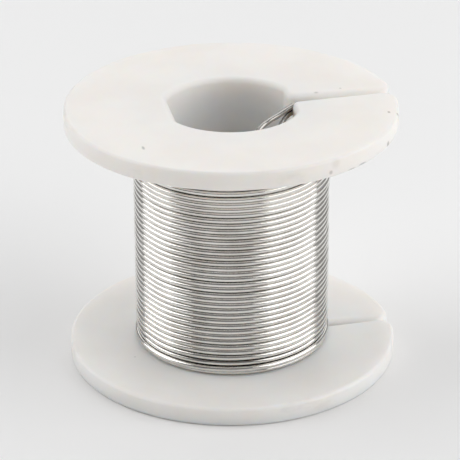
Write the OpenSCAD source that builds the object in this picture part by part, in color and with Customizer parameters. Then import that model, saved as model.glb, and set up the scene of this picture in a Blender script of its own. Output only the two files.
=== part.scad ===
// Small reel of solder wire: a two-part plastic reel with a double-D spindle hole and a
// tapered wire slot in each flange, wound with four layers of bright soft wire.
// Both ends of the wire come up through the upper slot and are tucked down into the hole.
// Origin: centre of the bottom face. +Z runs up the reel's axis. The slots open along +X.

/* [Reel] */
// Diameter of both flanges
flange_d = 50; // [49:0.5:54]
// Height over both flanges
reel_h = 41; // [38:0.5:44]
// Thickness of each flange
flange_t = 2.9; // [2.6:0.1:3.0]
// Radius of the rounded edges of each flange
rim_r = 0.5; // [0.3:0.1:0.9]
// Outer diameter of the barrel under the wire
barrel_d = 23.2; // [22.8:0.1:23.4]

/* [Spindle hole] */
// Diameter across the round stretches of the hole
hole_d = 20; // [19.8:0.1:20.1]
// Width across the two flats of the hole
hole_flats = 18; // [17.8:0.1:18.2]
// Radius of the rounded lip at both ends of the hole
lip_r = 0.9; // [0.4:0.1:1.1]

/* [Wire slot] */
// Width between the slot's walls, carried on to the flat of the spindle hole
slot_w = 2.0; // [1.8:0.1:2.4]
// Width of the slot at its neck, where the wire is nipped
neck_w = 0.7; // [0.6:0.1:1.0]
// Distance of the neck from the reel's axis
neck_x = 22; // [21:0.5:22.5]
// Radius of the rounded corners of the slot's mouth
mouth_r = 2.2; // [1.6:0.1:2.2]
// Radius of the rounded corners where the slot opens out of the spindle hole
heel_r = 1.8; // [1.6:0.1:2.0]
// Distance of the lower slot's middle line from the reel's axis, toward +Y
lower_slot_y = -1.0; // [-1.2:0.1:0]

/* [Barrel joint] */
// Diameter of the spigot on the lower half, a press fit in the upper half
spigot_d = 21.6; // [21.2:0.1:21.8]
// Length of the spigot
spigot_l = 5; // [3:0.5:8]

/* [Wire] */
// Diameter of the wire
wire_d = 0.8; // [0.6:0.1:0.8]
// Turns side by side in each layer
turns = 40; // [36:1:42]

/* [Hidden] */
$fn = 96;
past = 1;                              // how far a cutting shape runs past a face
flange_r = flange_d / 2;
barrel_r = barrel_d / 2;
hole_r = hole_d / 2;
flat_x = hole_flats / 2;
mid_z = reel_h / 2;
coil_bottom = flange_t;                // the wire fills the barrel between the flanges
coil_top = reel_h - flange_t;
pitch = (coil_top - coil_bottom) / turns;
wire_r = wire_d / 2;
layer_4_r = barrel_r + 3 * wire_d;     // the inner radius of the outer layer
tail_sides = 8;
plastic = "#ebe8e4";
metal = "#c9c6c0";

// Where each end of the wire runs, up out of the winding, in along the slot, and down the hole
start_route = [
    [12.0, 0.1, 38.1], [12.0, 0.1, 38.3], [11.6, 0.0, 38.9], [10.8, -0.1, 39.2], [9.7, -0.45, 39.2],
    [8.7, -1.4, 39.2], [7.7, -2.6, 39.1], [6.9, -3.9, 38.8], [6.4, -5.1, 38.0], [6.2, -6.0, 36.8],
    [6.1, -6.6, 35.3], [6.0, -7.0, 33.6], [5.9, -7.3, 31.8], [5.9, -7.4, 30.0], [5.8, -7.5, 28.2]];
finish_route = [
    [14.4, 0.0, 38.1], [14.4, 0.0, 38.3], [14.2, -0.05, 39.1], [13.6, -0.15, 39.75],
    [12.6, -0.25, 40.05], [11.4, -0.3, 40.1], [10.3, -0.35, 40.1], [9.4, -0.7, 40.1],
    [8.6, -1.45, 40.1], [7.7, -2.35, 40.1], [6.2, -3.95, 40.1], [4.6, -5.55, 40.1],
    [3.3, -7.0, 40.0], [2.4, -8.0, 39.5], [1.9, -8.7, 38.5], [1.6, -9.05, 37.1], [1.4, -9.25, 35.3],
    [1.1, -9.35, 33.3], [0.8, -9.4, 31.3], [0.5, -9.4, 29.3], [0.3, -9.3, 27.3]];

// Direction of the slot's +Y wall in plan, out toward the rim, and its normal into the plastic
wall_run = [neck_x - flat_x, (neck_w - slot_w) / 2];
wall_dir = wall_run / norm(wall_run);
wall_normal = [-wall_dir[1], wall_dir[0]];
corner_steps = 12;

// Points round a corner of the outline
function corner(c, r, from, to) =
    [for (i = [0:corner_steps]) let (a = from + (to - from) * i / corner_steps) c + r * [cos(a), sin(a)]];

// The +Y side of a slot whose middle line lies at y: out of the hole round the heel, along the
// wall, and round the mouth's corner past the rim
function slot_side(y) =
    let (off = wall_normal * [flat_x, slot_w / 2 + y],
         to_wall = atan2(-wall_normal[1], -wall_normal[0]),
         heel_x = flat_x + heel_r,
         heel = [heel_x, (off + heel_r - heel_x * wall_normal[0]) / wall_normal[1]],
         mouth_off = off + mouth_r,
         mouth_along = sqrt(pow(flange_r - mouth_r, 2) - mouth_off * mouth_off),
         mouth = mouth_off * wall_normal + mouth_along * wall_dir,
         to_rim = atan2(mouth[1], mouth[0]))
    concat([[flat_x - 2 * past, heel[1]]],
           corner(heel, heel_r, -180, to_wall),
           corner(mouth, mouth_r, to_wall, to_rim),
           [mouth + (mouth_r + 2 * past) * [cos(to_rim), sin(to_rim)]]);

// Plan of a slot: it narrows from the spindle hole to the neck and flares again at the rim
module slot_plan(y) {
    upper = slot_side(y);
    lower = slot_side(-y);
    polygon(concat(upper, [for (i = [len(lower) - 1:-1:0]) [lower[i][0], -lower[i][1]]]));
}

// Half section of a round bar with rounded ends, from z = 0 to z = h
module rounded_bar(r, h, round_r) {
    square([r - round_r, h]);
    translate([0, round_r]) square([r, h - 2 * round_r]);
    for (z = [round_r, h - round_r]) translate([r - round_r, z]) circle(r = round_r);
}

// Section of an opening of half width r through the reel, flared at both faces by the lip
module flared_opening(r) {
    translate([0, -past]) square([r, reel_h + 2 * past]);
    for (side = [0, 1]) translate([0, side * reel_h]) mirror([0, side]) difference() {
        translate([0, -past]) square([r + lip_r, past + lip_r]);
        translate([r + lip_r, lip_r]) circle(r = lip_r);
    }
}

// The double-D spindle hole, as the solid that cuts it
module spindle_hole() {
    intersection() {
        rotate_extrude() flared_opening(hole_r);
        rotate([90, 0, 0]) linear_extrude(height = flange_d, center = true) {
            flared_opening(flat_x);
            mirror([1, 0]) flared_opening(flat_x);
        }
    }
}

// A flange with its underside at z = 0 and the middle line of its slot at y
module slotted_flange(y) {
    difference() {
        rotate_extrude() rounded_bar(flange_r, flange_t, rim_r);
        translate([0, 0, -past]) linear_extrude(height = flange_t + 2 * past) slot_plan(y);
    }
}

// The lower flange and barrel half, with the spigot on top
module lower_reel_half() {
    color(plastic) difference() {
        union() {
            slotted_flange(lower_slot_y);
            translate([0, 0, flange_t]) cylinder(r = barrel_r, h = mid_z - flange_t);
            translate([0, 0, mid_z - past]) cylinder(d = spigot_d, h = spigot_l + past);
        }
        spindle_hole();
    }
}

// The upper flange and barrel half, with the socket that grips the spigot
module upper_reel_half() {
    color(plastic) difference() {
        union() {
            translate([0, 0, coil_top]) slotted_flange(0);
            translate([0, 0, mid_z]) cylinder(r = barrel_r, h = coil_top - mid_z);
        }
        spindle_hole();
        translate([0, 0, mid_z - past]) cylinder(d = spigot_d, h = spigot_l + past);
    }
}

// One smooth layer of turns, counted from 1 at the barrel
module inner_layer(k) {
    color(metal) translate([0, 0, coil_bottom]) difference() {
        cylinder(r = barrel_r + k * wire_d, h = coil_top - coil_bottom);
        translate([0, 0, -past]) cylinder(r = barrel_r + (k - 1) * wire_d, h = reel_h);
    }
}

// The outer layer, with a bead for each turn
module wire_layer_4() {
    color(metal) rotate_extrude() {
        translate([layer_4_r, coil_bottom]) square([wire_r, coil_top - coil_bottom]);
        for (i = [0:turns - 1]) {
            translate([layer_4_r + wire_r, coil_bottom + (i + 0.5) * pitch]) circle(r = wire_r);
        }
    }
}

// The direction of a route at one of its points. It starts straight up, out of the winding.
function heading(route, i) =
    i < 2 ? [0, 0, 1] :
    let (step = route[min(i + 1, len(route) - 1)] - route[i - 1]) step / norm(step);

// One ring of a tube around a route's point, on axes square to its heading
function ring(route, i, r) =
    let (t = heading(route, i), side = cross([0.6, -0.8, 0], t), u = side / norm(side), v = cross(t, u))
    [for (s = [0:tail_sides - 1])
        route[i] + r * (cos(360 * s / tail_sides) * u + sin(360 * s / tail_sides) * v)];

// A closed tube of radius r along a route
module tube(route, r) {
    n = tail_sides;
    rings = len(route);
    points = [for (i = [0:rings - 1]) each ring(route, i, r)];
    walls = [for (i = [0:rings - 2], s = [0:n - 1])
        [i * n + s, i * n + (s + 1) % n, (i + 1) * n + (s + 1) % n, (i + 1) * n + s]];
    first = [for (s = [n - 1:-1:0]) s];
    last = [for (s = [0:n - 1]) (rings - 1) * n + s];
    polyhedron(points, concat([first, last], walls));
}

module wire_start_tail() { color(metal) tube(start_route, wire_r); }
module wire_finish_tail() { color(metal) tube(finish_route, wire_r); }

lower_reel_half();
upper_reel_half();
inner_layer(1);  // wire_layer_1
inner_layer(2);  // wire_layer_2
inner_layer(3);  // wire_layer_3
wire_layer_4();
wire_start_tail();
wire_finish_tail();
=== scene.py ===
"""Looks of a small reel of solder wire: two moulded reel halves and one long bright wire.

The wire is a single cord. It starts in the spindle hole, comes out through the upper slot,
goes down and up the barrel in four layers, and ends back in the hole through the same slot.
Lengths are in millimetres until a mesh is made, and angles are in radians.
"""

import bmesh
import bpy
import numpy as np
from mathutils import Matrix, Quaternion, Vector


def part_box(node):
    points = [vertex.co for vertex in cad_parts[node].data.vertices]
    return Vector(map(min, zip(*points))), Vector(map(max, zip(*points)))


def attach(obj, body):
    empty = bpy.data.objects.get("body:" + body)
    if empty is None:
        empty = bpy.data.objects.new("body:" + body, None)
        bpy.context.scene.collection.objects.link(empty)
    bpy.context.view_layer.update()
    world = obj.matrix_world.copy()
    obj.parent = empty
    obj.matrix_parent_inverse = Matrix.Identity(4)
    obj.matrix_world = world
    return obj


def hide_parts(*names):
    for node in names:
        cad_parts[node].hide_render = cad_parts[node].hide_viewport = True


MM = 0.001

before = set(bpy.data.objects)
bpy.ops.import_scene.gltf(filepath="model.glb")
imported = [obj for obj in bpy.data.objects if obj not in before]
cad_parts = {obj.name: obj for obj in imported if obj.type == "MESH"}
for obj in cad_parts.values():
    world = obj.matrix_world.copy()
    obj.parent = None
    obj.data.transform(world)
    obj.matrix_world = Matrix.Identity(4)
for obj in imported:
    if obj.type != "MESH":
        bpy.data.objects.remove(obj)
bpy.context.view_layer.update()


def box_mm(node):
    low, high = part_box(node)
    return np.array(low) / MM, np.array(high) / MM


# ---------------------------------------------------------------- sizes, from the boxes of the parts in model.glb
flange_r = -box_mm("lower_reel_half")[0][1]
reel_h = box_mm("upper_reel_half")[1][2]
coil_low, coil_high = box_mm("wire_layer_1")
coil_bottom, coil_top = coil_low[2], coil_high[2]
flange_t = coil_bottom
wire_d = (box_mm("wire_layer_4")[1][1] - coil_high[1]) / 3
wire_r = wire_d / 2
barrel_r = coil_high[1] - wire_d
mid_z = reel_h / 2

# Sizes of the reel that no box gives
HOLE_R = 10.0            # the round stretches of the double-D spindle hole
FLAT_X = 9.0             # its two flats, square to the slots
SPIGOT_R, SPIGOT_L = 10.8, 5.0
SLOT_W, NECK_W, NECK_X = 2.0, 0.7, 22.0
LOWER_SLOT_Y = -1.0      # the lower slot lies this far to one side of the axis
MOUTH_R = 2.2            # corners of the slot's mouth, in plan
HEEL_R = {1: 2.0, -1: 1.2}                       # corners where each wall meets the hole, in plan
RIM_EDGE, LIP_EDGE = 0.5, 0.9                    # radii of the rounded edges
SLOT_EDGES = {1: (1.4, 1.2), -1: (0.5, 0.3)}     # of the slot's +Y and -Y walls, at the outer and inner face

TURNS, LAYERS = 40, 4
WIRE_SIDES = 10
# The wire is drawn this much fuller in radius than it is, to nearly close the gaps between turns
SNUG = 0.03
OUTER_STEPS, INNER_STEPS = 80, 24                # points in a turn of the outer layer and of the others
CLIMB = 9                                        # a new layer has climbed to its place in 1 / CLIMB of a turn
ROUTE_STEP = 0.22                                # between points of the two ends
NIP_SIZE, CORE_SIZE = 0.86, 0.38                 # a cut end's face and its core, as shares of the wire
NIP_OUT, CORE_OUT = 0.06, 0.05

# The two ends of the wire, as in the CAD but without each one's first point, at the top of the winding
START_ROUTE = [
    (12.0, 0.1, 38.3), (11.6, 0.0, 38.9), (10.8, -0.1, 39.2), (9.7, -0.45, 39.2), (8.7, -1.4, 39.2),
    (7.7, -2.6, 39.1), (6.9, -3.9, 38.8), (6.4, -5.1, 38.0), (6.2, -6.0, 36.8), (6.1, -6.6, 35.3),
    (6.0, -7.0, 33.6), (5.9, -7.3, 31.8), (5.9, -7.4, 30.0), (5.8, -7.5, 28.2)]
FINISH_ROUTE = [
    (14.4, 0.0, 38.3), (14.2, -0.05, 39.1), (13.6, -0.15, 39.75), (12.6, -0.25, 40.05), (11.4, -0.3, 40.1),
    (10.3, -0.35, 40.1), (9.4, -0.7, 40.1), (8.6, -1.45, 40.1), (7.7, -2.35, 40.1), (6.2, -3.95, 40.1),
    (4.6, -5.55, 40.1), (3.3, -7.0, 40.0), (2.4, -8.0, 39.5), (1.9, -8.7, 38.5), (1.6, -9.05, 37.1),
    (1.4, -9.25, 35.3), (1.1, -9.35, 33.3), (0.8, -9.4, 31.3), (0.5, -9.4, 29.3), (0.3, -9.3, 27.3)]

# The outer layer isn't quite even. Each row is turns from its foot, height over an even layer's, push outward
UNEVEN = [
    (0.00, 0.00, 0.06), (0.35, -0.30, 0.06), (0.72, -0.63, -0.06), (1.30, -0.85, 0.08), (1.72, -0.83, 0.26),
    (2.05, -0.80, 0.10), (2.40, -0.86, -0.08), (2.72, -0.90, -0.26), (3.10, -0.80, 0.00), (4.00, -0.68, 0.00),
    (29.90, -0.36, 0.00), (30.45, -0.32, 0.00), (30.72, -0.28, 0.12), (33.72, -0.47, 0.05),
    (40.0, 0.00, 0.03)]

# Points that join the start to the winding and the winding to the finish
START_JOIN = [(12.0, 0.3, 37.85), (11.98, 0.9, 37.68)]
FINISH_JOIN = [(14.4, -0.85, 37.68), (14.42, -0.32, 37.86)]

# The camera, in metres and degrees
CAMERA_AT = (-0.0701, -0.3552, 0.1943)
CAMERA_TO = (-0.00024, 0.00005, 0.0201)
CAMERA_ROLL, CAMERA_LENS = -0.32, 206.35
CAMERA_SIDE = -101.1                             # its direction from the reel, in plan

# Soft lights: degrees from the camera's side (counterclockwise from above), height and distance out
# in metres, size, strength
LIGHTS = {
    "right_softbox": (76, 0.40, 0.60, (1.00, 0.70), 1.78),
    "left_softbox": (-97, 0.40, 0.60, (0.66, 0.70), 1.76),
    "top_softbox": (180, 0.80, 0.20, (0.80, 0.60), 0.42),
    "back_softbox": (180, 0.60, 0.75, (1.0, 0.5), 1.10),
    "front_softbox": (0, 0.18, 0.80, (0.90, 0.25), 0.32)}
ROOM_FAR, ROOM_NEAR = 0.30, 0.16                 # the room's light away from and at the camera's side

DARK = (0.10, 0.09, 0.08, 1)


def smooth(t):
    t = np.clip(t, 0, 1)
    return t * t * (3 - 2 * t)


# ---------------------------------------------------------------- camera
def camera():
    cam = bpy.data.objects.new("camera", bpy.data.cameras.new("camera"))
    bpy.context.scene.collection.objects.link(cam)
    at, to = Vector(CAMERA_AT), Vector(CAMERA_TO)
    cam.location = at
    cam.rotation_mode = "QUATERNION"
    roll = Quaternion((0, 0, 1), np.radians(CAMERA_ROLL))
    cam.rotation_quaternion = (to - at).to_track_quat("-Z", "Y") @ roll
    cam.data.lens, cam.data.sensor_width = CAMERA_LENS, 36
    cam.data.clip_start, cam.data.clip_end = 0.01, 50
    bpy.context.scene.camera = cam


# ---------------------------------------------------------------- the wire's line
def wander(turns, seed, size, per_turn=3):
    """A smooth random number of about that size at each place, given in turns along a layer"""
    knots = np.random.default_rng(seed).normal(0, size, int(TURNS * per_turn) + 4)
    x = np.asarray(turns) * per_turn
    i = np.clip(x.astype(int), 0, len(knots) - 2)
    return knots[i] + (knots[i + 1] - knots[i]) * smooth(x - i)


def uneven(turns, column):
    """The outer layer's departure from an even one, eased over a third of a turn"""
    at, value = [row[0] for row in UNEVEN], [row[column] for row in UNEVEN]
    return np.mean([np.interp(turns + shift, at, value) for shift in np.linspace(-0.17, 0.17, 9)], axis=0)


def layer(k):
    """Centres of one layer's turns, counted from 0 at the barrel. Even layers run down, odd ones up."""
    outer = k == LAYERS - 1
    turns = np.linspace(0, TURNS, TURNS * (OUTER_STEPS if outer else INNER_STEPS) + 1)
    from_bottom = turns if k % 2 else TURNS - turns
    r = np.full(len(turns), barrel_r + (k + 0.5) * wire_d)
    z = coil_bottom + wire_r + (coil_top - coil_bottom - wire_d) * from_bottom / TURNS
    if k:                                              # it climbs out of the layer below
        r -= wire_d * (1 - smooth(turns * CLIMB))
    if outer:
        ends = smooth(turns * 2) * smooth((TURNS - turns) * 2)
        z = np.maximum(z + uneven(from_bottom, 1) + wander(turns, 5, 0.022) * ends, z[0])
        r += uneven(from_bottom, 2) + wander(turns, 6, 0.03) * ends
    angle = 2 * np.pi * turns
    return np.column_stack([r * np.cos(angle), r * np.sin(angle), z])


def curve(points, step):
    """A smooth line through the points, about evenly spaced, as centripetal Catmull-Rom arcs"""
    p = np.asarray(points, float)
    p = np.vstack([2 * p[0] - p[1], p, 2 * p[-1] - p[-2]])
    line = []
    for a, b, c, d in zip(p, p[1:], p[2:], p[3:]):
        t = np.concatenate([[0], np.cumsum([np.linalg.norm(v) ** 0.5 for v in (b - a, c - b, d - c)])])
        n = max(2, round(np.linalg.norm(c - b) / step))
        for u in np.linspace(t[1], t[2], n, endpoint=False):
            ab, bc, cd = [
                (v * (hi - u) + w * (u - lo)) / (hi - lo)
                for v, w, lo, hi in ((a, b, t[0], t[1]), (b, c, t[1], t[2]), (c, d, t[2], t[3]))]
            left = (ab * (t[2] - u) + bc * (u - t[0])) / (t[2] - t[0])
            right = (bc * (t[3] - u) + cd * (u - t[1])) / (t[3] - t[1])
            line.append((left * (t[2] - u) + right * (u - t[1])) / (t[2] - t[1]))
    return np.vstack([line, p[-2]])


def wire_line():
    """Centres of the whole wire, from its end in the hole, through the winding, back into the hole"""
    coil = np.vstack([layer(0)] + [layer(k)[1:] for k in range(1, LAYERS)])
    leave, arrive = [tuple(p) for p in coil[1:3]], [tuple(p) for p in coil[-5:-3]]
    into = curve(START_ROUTE[::-1] + START_JOIN + leave, ROUTE_STEP)
    out = curve(arrive + FINISH_JOIN + FINISH_ROUTE, ROUTE_STEP)
    return np.vstack([into[:-1], coil[2:-5], out])


# ---------------------------------------------------------------- mesh tools
def to_object(bm, name, *materials):
    """Makes the millimetre mesh an object in metres on the one body"""
    bmesh.ops.recalc_face_normals(bm, faces=bm.faces)
    bmesh.ops.scale(bm, vec=(MM, MM, MM), verts=bm.verts)
    mesh = bpy.data.meshes.new(name)
    bm.to_mesh(mesh)
    bm.free()
    for material in materials:
        mesh.materials.append(material)
    piece = bpy.data.objects.new(name, mesh)
    bpy.context.scene.collection.objects.link(piece)
    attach(piece, "root")
    return piece


def ring(bm, points):
    return [bm.verts.new(p) for p in points]


def strip(bm, a, b, material=0):
    """Quads between two closed rings of vertices"""
    for i in range(len(a)):
        j = (i + 1) % len(a)
        bm.faces.new((a[i], a[j], b[j], b[i])).material_index = material


# ---------------------------------------------------------------- the wire
def sweep_frames(line):
    """Two axes square to the line at each of its points, turned as little as possible"""
    along = np.gradient(line, axis=0)
    along /= np.linalg.norm(along, axis=1)[:, None]
    u = np.cross(along[0], (0, 0, 1.0))
    u /= np.linalg.norm(u)
    axes = []
    for t in along:
        u = u - t * (u @ t)
        u /= np.linalg.norm(u)
        axes.append((u, np.cross(t, u)))
    return axes


def solder_wire(materials):
    line = wire_line()
    angles = 2 * np.pi * np.arange(WIRE_SIDES) / WIRE_SIDES
    round_section = np.column_stack([np.cos(angles), np.sin(angles)]) * (wire_r + SNUG)
    axes = sweep_frames(line)

    def section(i, size=1.0, push=0.0):
        u, v = axes[i]
        centre = line[i] + push * np.cross(u, v)
        return [centre + size * (x * u + y * v) for x, y in round_section]

    bm = bmesh.new()
    rings = [ring(bm, section(i)) for i in range(len(line))]
    for a, b in zip(rings, rings[1:]):
        strip(bm, a, b)
    for end, i, out in ((rings[0], 0, -1), (rings[-1], len(line) - 1, 1)):   # nipped ends, with the core
        shoulder = ring(bm, section(i, NIP_SIZE, NIP_OUT * out))
        core = ring(bm, section(i, CORE_SIZE, CORE_OUT * out))
        strip(bm, end, shoulder)
        strip(bm, shoulder, core)
        bm.faces.new(core).material_index = 1
    wire = to_object(bm, "solder_wire", *materials)
    wire.data.shade_smooth()
    wire.data.set_sharp_from_angle(angle=np.radians(50))
    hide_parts(*[f"wire_layer_{k + 1}" for k in range(LAYERS)], "wire_start_tail", "wire_finish_tail")
    tuple(np.array(FINISH_ROUTE[0]) * MM)


# ---------------------------------------------------------------- the reel
def arc(centre, r, start, end, step=1.5):
    """Points round a centre, with the direction from the centre to each"""
    n = max(3, round(abs(end - start) / np.radians(step)))
    for a in np.linspace(start, end, n + 1):
        d = np.array([np.cos(a), np.sin(a)])
        yield np.array(centre) + r * d, d


def half_plan(slot_y, heel_r, face_edge, inner_edge):
    """The half of a flange's outline on the +Y side: from the far side of the hole round to the slot, out
    along it and back round the rim. The slot's middle line lies at slot_y.

    Each point has the direction into the plastic, the edge radius at the outer face and at the
    inner face, and whether it is on the wall of the spindle hole.
    """
    foot = np.array([FLAT_X, SLOT_W / 2 + slot_y])
    along = np.array([NECK_X - FLAT_X, (NECK_W - SLOT_W) / 2])
    along /= np.linalg.norm(along)
    into = np.array([-along[1], along[0]])
    wall = foot @ into                                 # the slot's wall is where a point @ into is this

    heel = np.array([FLAT_X + heel_r, 0])
    heel[1] = (wall + heel_r - heel[0] * into[0]) / into[1]
    mouth_off = wall + MOUTH_R
    mouth = mouth_off * into + np.sqrt((flange_r - MOUTH_R) ** 2 - mouth_off ** 2) * along
    mouth_end = np.arctan2(mouth[1], mouth[0])
    to_wall = np.arctan2(-into[1], -into[0])
    corner = np.sqrt(HOLE_R ** 2 - FLAT_X ** 2)
    half = np.arctan2(corner, FLAT_X)
    points = []

    def add(p, way, face, inner, hole=False):
        points.append((np.array(p), np.array(way), face, inner, hole))

    for y in np.linspace(0, corner, 6)[:-1]:                               # far flat of the hole
        add((-FLAT_X, y), (-1, 0), LIP_EDGE, 0, True)
    mitre = np.array([1, np.tan(half / 2)])
    add((-FLAT_X, corner), mitre * (-1, 1), LIP_EDGE, 0, True)
    for p, d in list(arc((0, 0), HOLE_R, np.pi - half, half))[1:-1]:       # round wall of the hole
        add(p, d, LIP_EDGE, 0, True)
    add((FLAT_X, corner), mitre, LIP_EDGE, 0, True)
    for y in np.linspace(corner, heel[1], 5)[1:]:                          # near flat, down to the slot
        add((FLAT_X, y), (1, 0), LIP_EDGE, 0, True)
    turned = list(arc(heel, heel_r, np.pi, 2 * np.pi + to_wall, 6))
    across = np.sqrt(barrel_r ** 2 - wall ** 2)        # the wall is over the barrel's edge here
    for i, (p, d) in enumerate(turned[1:], 1):
        face = LIP_EDGE + (face_edge - LIP_EDGE) * smooth(i / (len(turned) - 1))
        add(p, -d, face, 0)
    start, stop = (heel - heel_r * into) @ along, (mouth - MOUTH_R * into) @ along
    for s in sorted([*np.linspace(start, stop, 22)[1:-1], across]):
        add(wall * into + s * along, into, face_edge, inner_edge * smooth((s - across - 0.3) / 2))
    for p, d in arc(mouth, MOUTH_R, to_wall, mouth_end, 7):
        t = smooth((np.arctan2(d[1], d[0]) - to_wall) / (mouth_end - to_wall))
        add(p, -d, face_edge + (RIM_EDGE - face_edge) * t, inner_edge + (RIM_EDGE - inner_edge) * t)
    for p, d in list(arc((0, 0), flange_r, mouth_end, np.pi, 1))[1:]:
        add(p, -d, RIM_EDGE, RIM_EDGE)
    return points


def flange_plan(slot_y):
    """The C-shaped outline of a flange, as half_plan gives it"""
    flip = np.array([1, -1])
    points = half_plan(slot_y, HEEL_R[1], *SLOT_EDGES[1])
    mirrored = half_plan(-slot_y, HEEL_R[-1], *SLOT_EDGES[-1])[-2:0:-1]
    return points + [(p * flip, into * flip, *rest) for p, into, *rest in mirrored]


def reel_half(name, upper, material):
    """One flange with its half of the barrel, closed. Heights here are measured from the outer face."""
    plan = flange_plan(0 if upper else LOWER_SLOT_Y)
    bm = bmesh.new()

    def level(points, h):
        z = reel_h - h if upper else h
        return ring(bm, [(x, y, z) for x, y in points])

    def wall(a, b):
        strip(bm, a, b)

    def face(*rings):
        edges = [bm.edges.get(e) or bm.edges.new(e) for r in rings for e in zip(r, r[1:] + r[:1])]
        bmesh.ops.triangle_fill(bm, edges=edges, use_beauty=True)

    def edge_rings(column, outer_face):
        """The rings that round the flange's edges, from the face to the upright wall"""
        for a in np.radians(np.linspace(0, 90, 8)):
            radii = [row[column] for row in plan]
            points = [p + into * r * (1 - np.sin(a)) for (p, into, *_), r in zip(plan, radii)]
            depth = [r * (1 - np.cos(a)) for r in radii]
            heights = depth if outer_face else [flange_t - d for d in depth]
            yield ring(bm, [(*p, reel_h - h if upper else h) for p, h in zip(points, heights)])

    outer, inner = list(edge_rings(2, True)), list(edge_rings(3, False))[::-1]
    rings = outer + inner
    for a, b in zip(rings, rings[1:]):
        wall(a, b)
    face(outer[0])

    # The inner face stops at the barrel's circle, which crosses the slot
    flat = [np.array(v.co[:2]) for v in inner[-1]]
    on_barrel = [i for i, p in enumerate(flat) if abs(np.linalg.norm(p) - barrel_r) < 1e-5 and p[0] > 0]
    first, last = on_barrel
    from_, to = (np.arctan2(flat[i][1], flat[i][0]) for i in (first, last))
    around = [p for p, _ in arc((0, 0), barrel_r, from_, 2 * np.pi + to)]
    short = [p for p, _ in arc((0, 0), barrel_r, to, from_)][1:-1]
    face(level(flat[first:last + 1] + around[-2:0:-1], flange_t))
    hole = [i for i, row in enumerate(plan) if row[4]]
    heel = max(i for i in hole if i < first)
    toe = min(i for i in hole if i > last)
    face(level(flat[heel:first + 1] + short[::-1] + flat[last:toe + 1], flange_t))

    # The barrel, down to the joint between the halves
    bore = [plan[i] for i in hole]
    end = reel_h - mid_z - SPIGOT_L if upper else mid_z + SPIGOT_L
    relief = 0.12                                      # the fine groove where the halves meet in the hole

    def bore_level(h, grow=0.0):
        return level([p + into * grow for p, into, *_ in bore], h)

    def circle(r, h):
        return level([r / barrel_r * p for p in around + short], h)

    wall(bore_level(flange_t), bore_level(end - relief))
    wall(bore_level(end - relief), bore_level(end, relief))
    wall(circle(barrel_r, flange_t), circle(barrel_r, mid_z))
    wall(circle(SPIGOT_R, mid_z), circle(SPIGOT_R, end))
    face(circle(barrel_r, mid_z), circle(SPIGOT_R, mid_z))
    face(circle(SPIGOT_R, end), bore_level(end, relief))

    bmesh.ops.remove_doubles(bm, verts=bm.verts, dist=1e-4)
    half = to_object(bm, name, material)
    half.data.shade_smooth()
    half.data.set_sharp_from_angle(angle=np.radians(35))
    even = half.modifiers.new("even_faces", "WEIGHTED_NORMAL")
    even.keep_sharp, even.weight = True, 80
    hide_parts("upper_reel_half" if upper else "lower_reel_half")


# ---------------------------------------------------------------- materials
class Shader:
    """A material's nodes, added one by one and joined by name"""

    def __init__(self, name):
        self.material = bpy.data.materials.new(name)
        self.material.use_nodes = True
        self.tree = self.material.node_tree
        self.main = self.tree.nodes["Principled BSDF"]

    def node(self, kind, inputs=None, **settings):
        node = self.tree.nodes.new("ShaderNode" + kind)
        for key, value in settings.items():
            setattr(node, key, value)
        self.wire(node, inputs or {})
        return node

    def wire(self, node, inputs):
        for key, value in inputs.items():
            if isinstance(value, bpy.types.NodeSocket):
                self.tree.links.new(value, node.inputs[key])
            else:
                node.inputs[key].default_value = value

    def place(self, scale=(1, 1, 1), turn=(0, 0, 0)):
        """The place on the object in metres, stretched"""
        at = self.node("TexCoord").outputs["Object"]
        return self.node("Mapping", {"Vector": at, "Scale": scale, "Rotation": turn}).outputs[0]

    def noise(self, scale, detail=2.0, rough=0.5, at=None):
        at = at or self.place()
        inputs = {"Vector": at, "Scale": scale, "Detail": detail, "Roughness": rough}
        return self.node("TexNoise", inputs).outputs[0]

    def math(self, operation, a, b=0.0):
        return self.node("Math", {0: a, 1: b}, operation=operation).outputs[0]

    def between(self, value, low, high, to_low=0.0, to_high=1.0):
        """The value's place between low and high, eased and put between two others"""
        inputs = {"Value": value, "From Min": low, "From Max": high, "To Min": to_low, "To Max": to_high}
        return self.node("MapRange", inputs, interpolation_type="SMOOTHSTEP").outputs[0]

    def mix(self, share, a, b):
        return self.node("Mix", {0: share, 6: a, 7: b}, data_type="RGBA").outputs[2]

    def reach(self):
        """Distance from the reel's axis in metres"""
        parts = self.node("SeparateXYZ", {"Vector": self.place()})
        flat = self.node("CombineXYZ", {"X": parts.outputs["X"], "Y": parts.outputs["Y"]}).outputs[0]
        return self.node("VectorMath", {0: flat}, operation="LENGTH").outputs["Value"]

    def spot(self, centre, stretch, size):
        """1 at a place in millimetres, falling to 0 at that size from it, longer where stretch is under 1"""
        centre = tuple(c * MM for c in centre)
        away = self.node("VectorMath", {0: self.place(), 1: centre}, operation="SUBTRACT")
        away = self.node("VectorMath", {0: away.outputs[0], 1: stretch}, operation="MULTIPLY").outputs[0]
        away = self.node("VectorMath", {0: away}, operation="LENGTH").outputs["Value"]
        return self.between(away, 0.25 * size * MM, size * MM, 1.0, 0.0)

    def bump(self, *heights):
        """Bumps laid on each other, each given as a height and its size in metres"""
        normal = None
        for height, size in heights:
            inputs = {"Height": height, "Distance": size, "Strength": 1.0}
            if normal:
                inputs["Normal"] = normal
            normal = self.node("Bump", inputs).outputs[0]
        return normal
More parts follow.
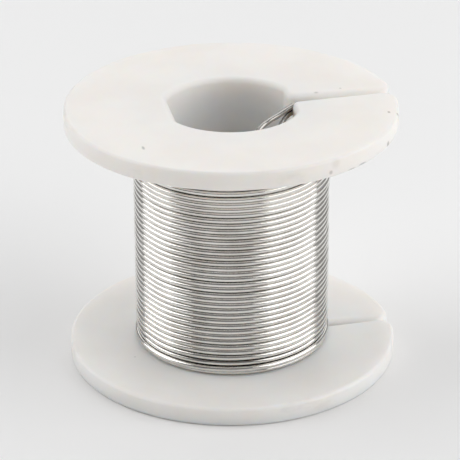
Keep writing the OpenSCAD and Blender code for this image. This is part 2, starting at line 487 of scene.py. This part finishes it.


# Small dark marks: place in millimetres, shape, size and strength. The rows at heights 38.3 to 38.7 make a
# soft dark line along the lower edge of the upper flange's rim; the others are marks of handling
MARKS = [
    ((-15.5, -13.4, 41.0), (1, 0.35, 1), 0.30, 0.45), ((22.2, -8.0, 41.0), (1, 0.6, 1), 0.30, 0.50),
    ((23.5, -8.6, 40.5), (1, 1, 0.5), 0.50, 0.60), ((10.7, -22.6, 40.2), (1, 1, 1), 1.10, 0.10),
    ((9.9, -22.9, 39.0), (1, 1, 1), 0.45, 0.35), ((13.5, -21.1, 38.3), (0.35, 0.35, 1.3), 0.40, 0.38),
    ((15.4, -19.7, 38.4), (0.35, 0.35, 1.3), 0.42, 0.42), ((20.5, -14.3, 38.7), (0.6, 0.6, 0.6), 0.40, 0.50),
    ((13.4, 1.7, 41.0), (0.6, 1, 1), 0.32, 0.35), ((17.3, 2.4, 41.0), (1, 1, 1), 0.28, 0.40),
    ((-21.3, -13.8, 2.9), (1, 1, 1), 0.25, 0.40), ((-16.2, -5.6, 2.9), (1, 1, 1), 0.22, 0.30)]


def reel_plastic():
    """Warm white moulded plastic, satin and slightly translucent, with specks and grey scuffs"""
    s = Shader("reel_plastic")
    cloud = s.between(s.noise(90, 3), 0.35, 0.65)
    colour = s.mix(cloud, (0.86, 0.83, 0.80, 1), (0.885, 0.86, 0.835, 1))

    cells = s.node("TexVoronoi", {"Vector": s.place(), "Scale": 150.0, "Randomness": 1.0})
    few = s.between(s.node("SeparateColor", {"Color": cells.outputs["Color"]}).outputs[0], 0.86, 0.88)
    near = s.between(cells.outputs["Distance"], 0.012, 0.026, 1.0, 0.0)
    speck = s.math("MULTIPLY", s.math("MULTIPLY", near, few), 0.7)
    colour = s.mix(speck, colour, (0.20, 0.155, 0.12, 1))

    grime = s.between(s.noise(110, 4, 0.65, s.place((1, 1, 2.2))), 0.55, 0.75)
    scuff = s.math("MULTIPLY", s.math("MULTIPLY", s.between(s.reach(), 0.0238, 0.0248), grime), 0.14)
    colour = s.mix(scuff, colour, (0.36, 0.33, 0.30, 1))
    for centre, stretch, size, share in MARKS:
        colour = s.mix(s.math("MULTIPLY", s.spot(centre, stretch, size), share), colour, DARK)

    rough = s.between(s.noise(260, 3), 0.3, 0.7, 0.34, 0.46)
    grain = s.noise(1900, 2)
    sink = s.noise(130, 1)
    s.wire(s.main, {
        "Base Color": colour, "Roughness": rough, "IOR": 1.5,
        "Normal": s.bump((sink, 0.00006), (grain, 0.000004)),
        "Subsurface Weight": 0.7, "Subsurface Radius": (1.0, 0.78, 0.6), "Subsurface Scale": 0.0036})
    return s.material


def bright_solder():
    """Bright tin alloy wire: drawn, with faint dulled lengths, painted shade in the grooves between turns and
    painted shade on its ends in the hole
    """
    s = Shader("bright_solder")
    dull = s.between(s.noise(170, 3, 0.6), 0.42, 0.72)
    colour = s.mix(dull, (0.79, 0.775, 0.745, 1), (0.68, 0.66, 0.625, 1))
    reach = s.reach()
    # Painted shade in the gaps between turns of the winding: wire within 14.6 mm of the axis, but not inside
    # 11.1 mm
    deep = s.between(reach, 0.01438, 0.01460, 1.0, 0.0)
    groove = s.math("MULTIPLY", deep, s.between(reach, 0.0110, 0.0112))
    # The painted groove shade is stronger lower down, and strongest at the foot, below 5 mm
    height = s.node("SeparateXYZ", {"Vector": s.place()}).outputs["Z"]
    shade_by_height = s.between(height, 0.002, 0.036, 0.45, 0.15)
    share = s.math("MAXIMUM", shade_by_height, s.between(height, 0.0050, 0.0060, 0.9, 0.0))
    groove = s.math("MULTIPLY", groove, share)
    colour = s.mix(groove, colour, DARK)
    # Painted shade on the wire's ends where they lie down in the spindle hole, within 10.4 mm of the axis
    colour = s.mix(s.between(reach, 0.0094, 0.0104, 0.6, 0.0), colour, (0.22, 0.205, 0.19, 1))
    rough = s.between(s.noise(300, 3, 0.6), 0.3, 0.75, 0.07, 0.17)
    drawn = s.noise(900, 3, 0.6, s.place((1, 1, 7)))
    s.wire(s.main, {
        "Base Color": colour, "Metallic": 1.0, "Roughness": rough, "Normal": s.bump((drawn, 0.000003))})
    return s.material


def rosin_core():
    """The amber flux in the middle of a cut end"""
    s = Shader("rosin_core")
    colour = s.mix(s.noise(4000, 2), (0.42, 0.20, 0.05, 1), (0.60, 0.34, 0.10, 1))
    s.wire(s.main, {"Base Color": colour, "Roughness": 0.3, "Normal": s.bump((s.noise(3000, 2), 0.00001))})
    return s.material


def studio_floor():
    s = Shader("studio_floor")
    colour = s.mix(s.noise(3, 1), (0.885, 0.885, 0.885, 1), (0.90, 0.90, 0.90, 1))
    s.wire(s.main, {"Base Color": colour, "Roughness": 0.75, "Specular IOR Level": 0.25})
    return s.material


# ---------------------------------------------------------------- studio
def softbox(name, azimuth, height, away, size, radiance):
    """A soft rectangular light that faces the reel, as the rows of LIGHTS give it"""
    light = bpy.data.lights.new(name, "AREA")
    light.shape, light.size, light.size_y = "RECTANGLE", *size
    light.energy = radiance * np.pi * size[0] * size[1]
    lamp = bpy.data.objects.new(name, light)
    bpy.context.scene.collection.objects.link(lamp)
    side = np.radians(azimuth + CAMERA_SIDE)
    lamp.location = (away * np.cos(side), away * np.sin(side), height)
    lamp.rotation_euler = (Vector((0, 0, 0.02)) - lamp.location).to_track_quat("-Z", "Y").to_euler()


def studio():
    bm = bmesh.new()
    bmesh.ops.create_grid(bm, x_segments=8, y_segments=8, size=4.0)
    mesh = bpy.data.meshes.new("floor")
    bm.to_mesh(mesh)
    bm.free()
    mesh.materials.append(studio_floor())
    floor = bpy.data.objects.new("floor", mesh)
    bpy.context.scene.collection.objects.link(floor)

    for name, row in LIGHTS.items():
        softbox(name, *row)

    world = bpy.data.worlds.new("room")                # the camera's side of the room is darker
    world.use_nodes = True
    tree = world.node_tree
    toward = tree.nodes.new("ShaderNodeVectorMath")
    toward.operation = "DOT_PRODUCT"
    side = np.radians(CAMERA_SIDE)
    toward.inputs[1].default_value = (np.cos(side), np.sin(side), 0)
    tree.links.new(tree.nodes.new("ShaderNodeTexCoord").outputs["Generated"], toward.inputs[0])
    light = tree.nodes.new("ShaderNodeMapRange")
    light.interpolation_type = "SMOOTHSTEP"
    blend = {"From Min": 0.1, "From Max": 0.9, "To Min": ROOM_FAR, "To Max": ROOM_NEAR}
    for name, value in blend.items():
        light.inputs[name].default_value = value
    tree.links.new(toward.outputs["Value"], light.inputs["Value"])
    tree.links.new(light.outputs[0], tree.nodes["Background"].inputs["Strength"])
    tree.nodes["Background"].inputs["Color"].default_value = (1, 1, 1, 1)
    bpy.context.scene.world = world
    bpy.context.scene.view_settings.view_transform = "Standard"


camera()
solder_wire([bright_solder(), rosin_core()])
plastic = reel_plastic()
reel_half("lower_half", False, plastic)
reel_half("upper_half", True, plastic)
studio()
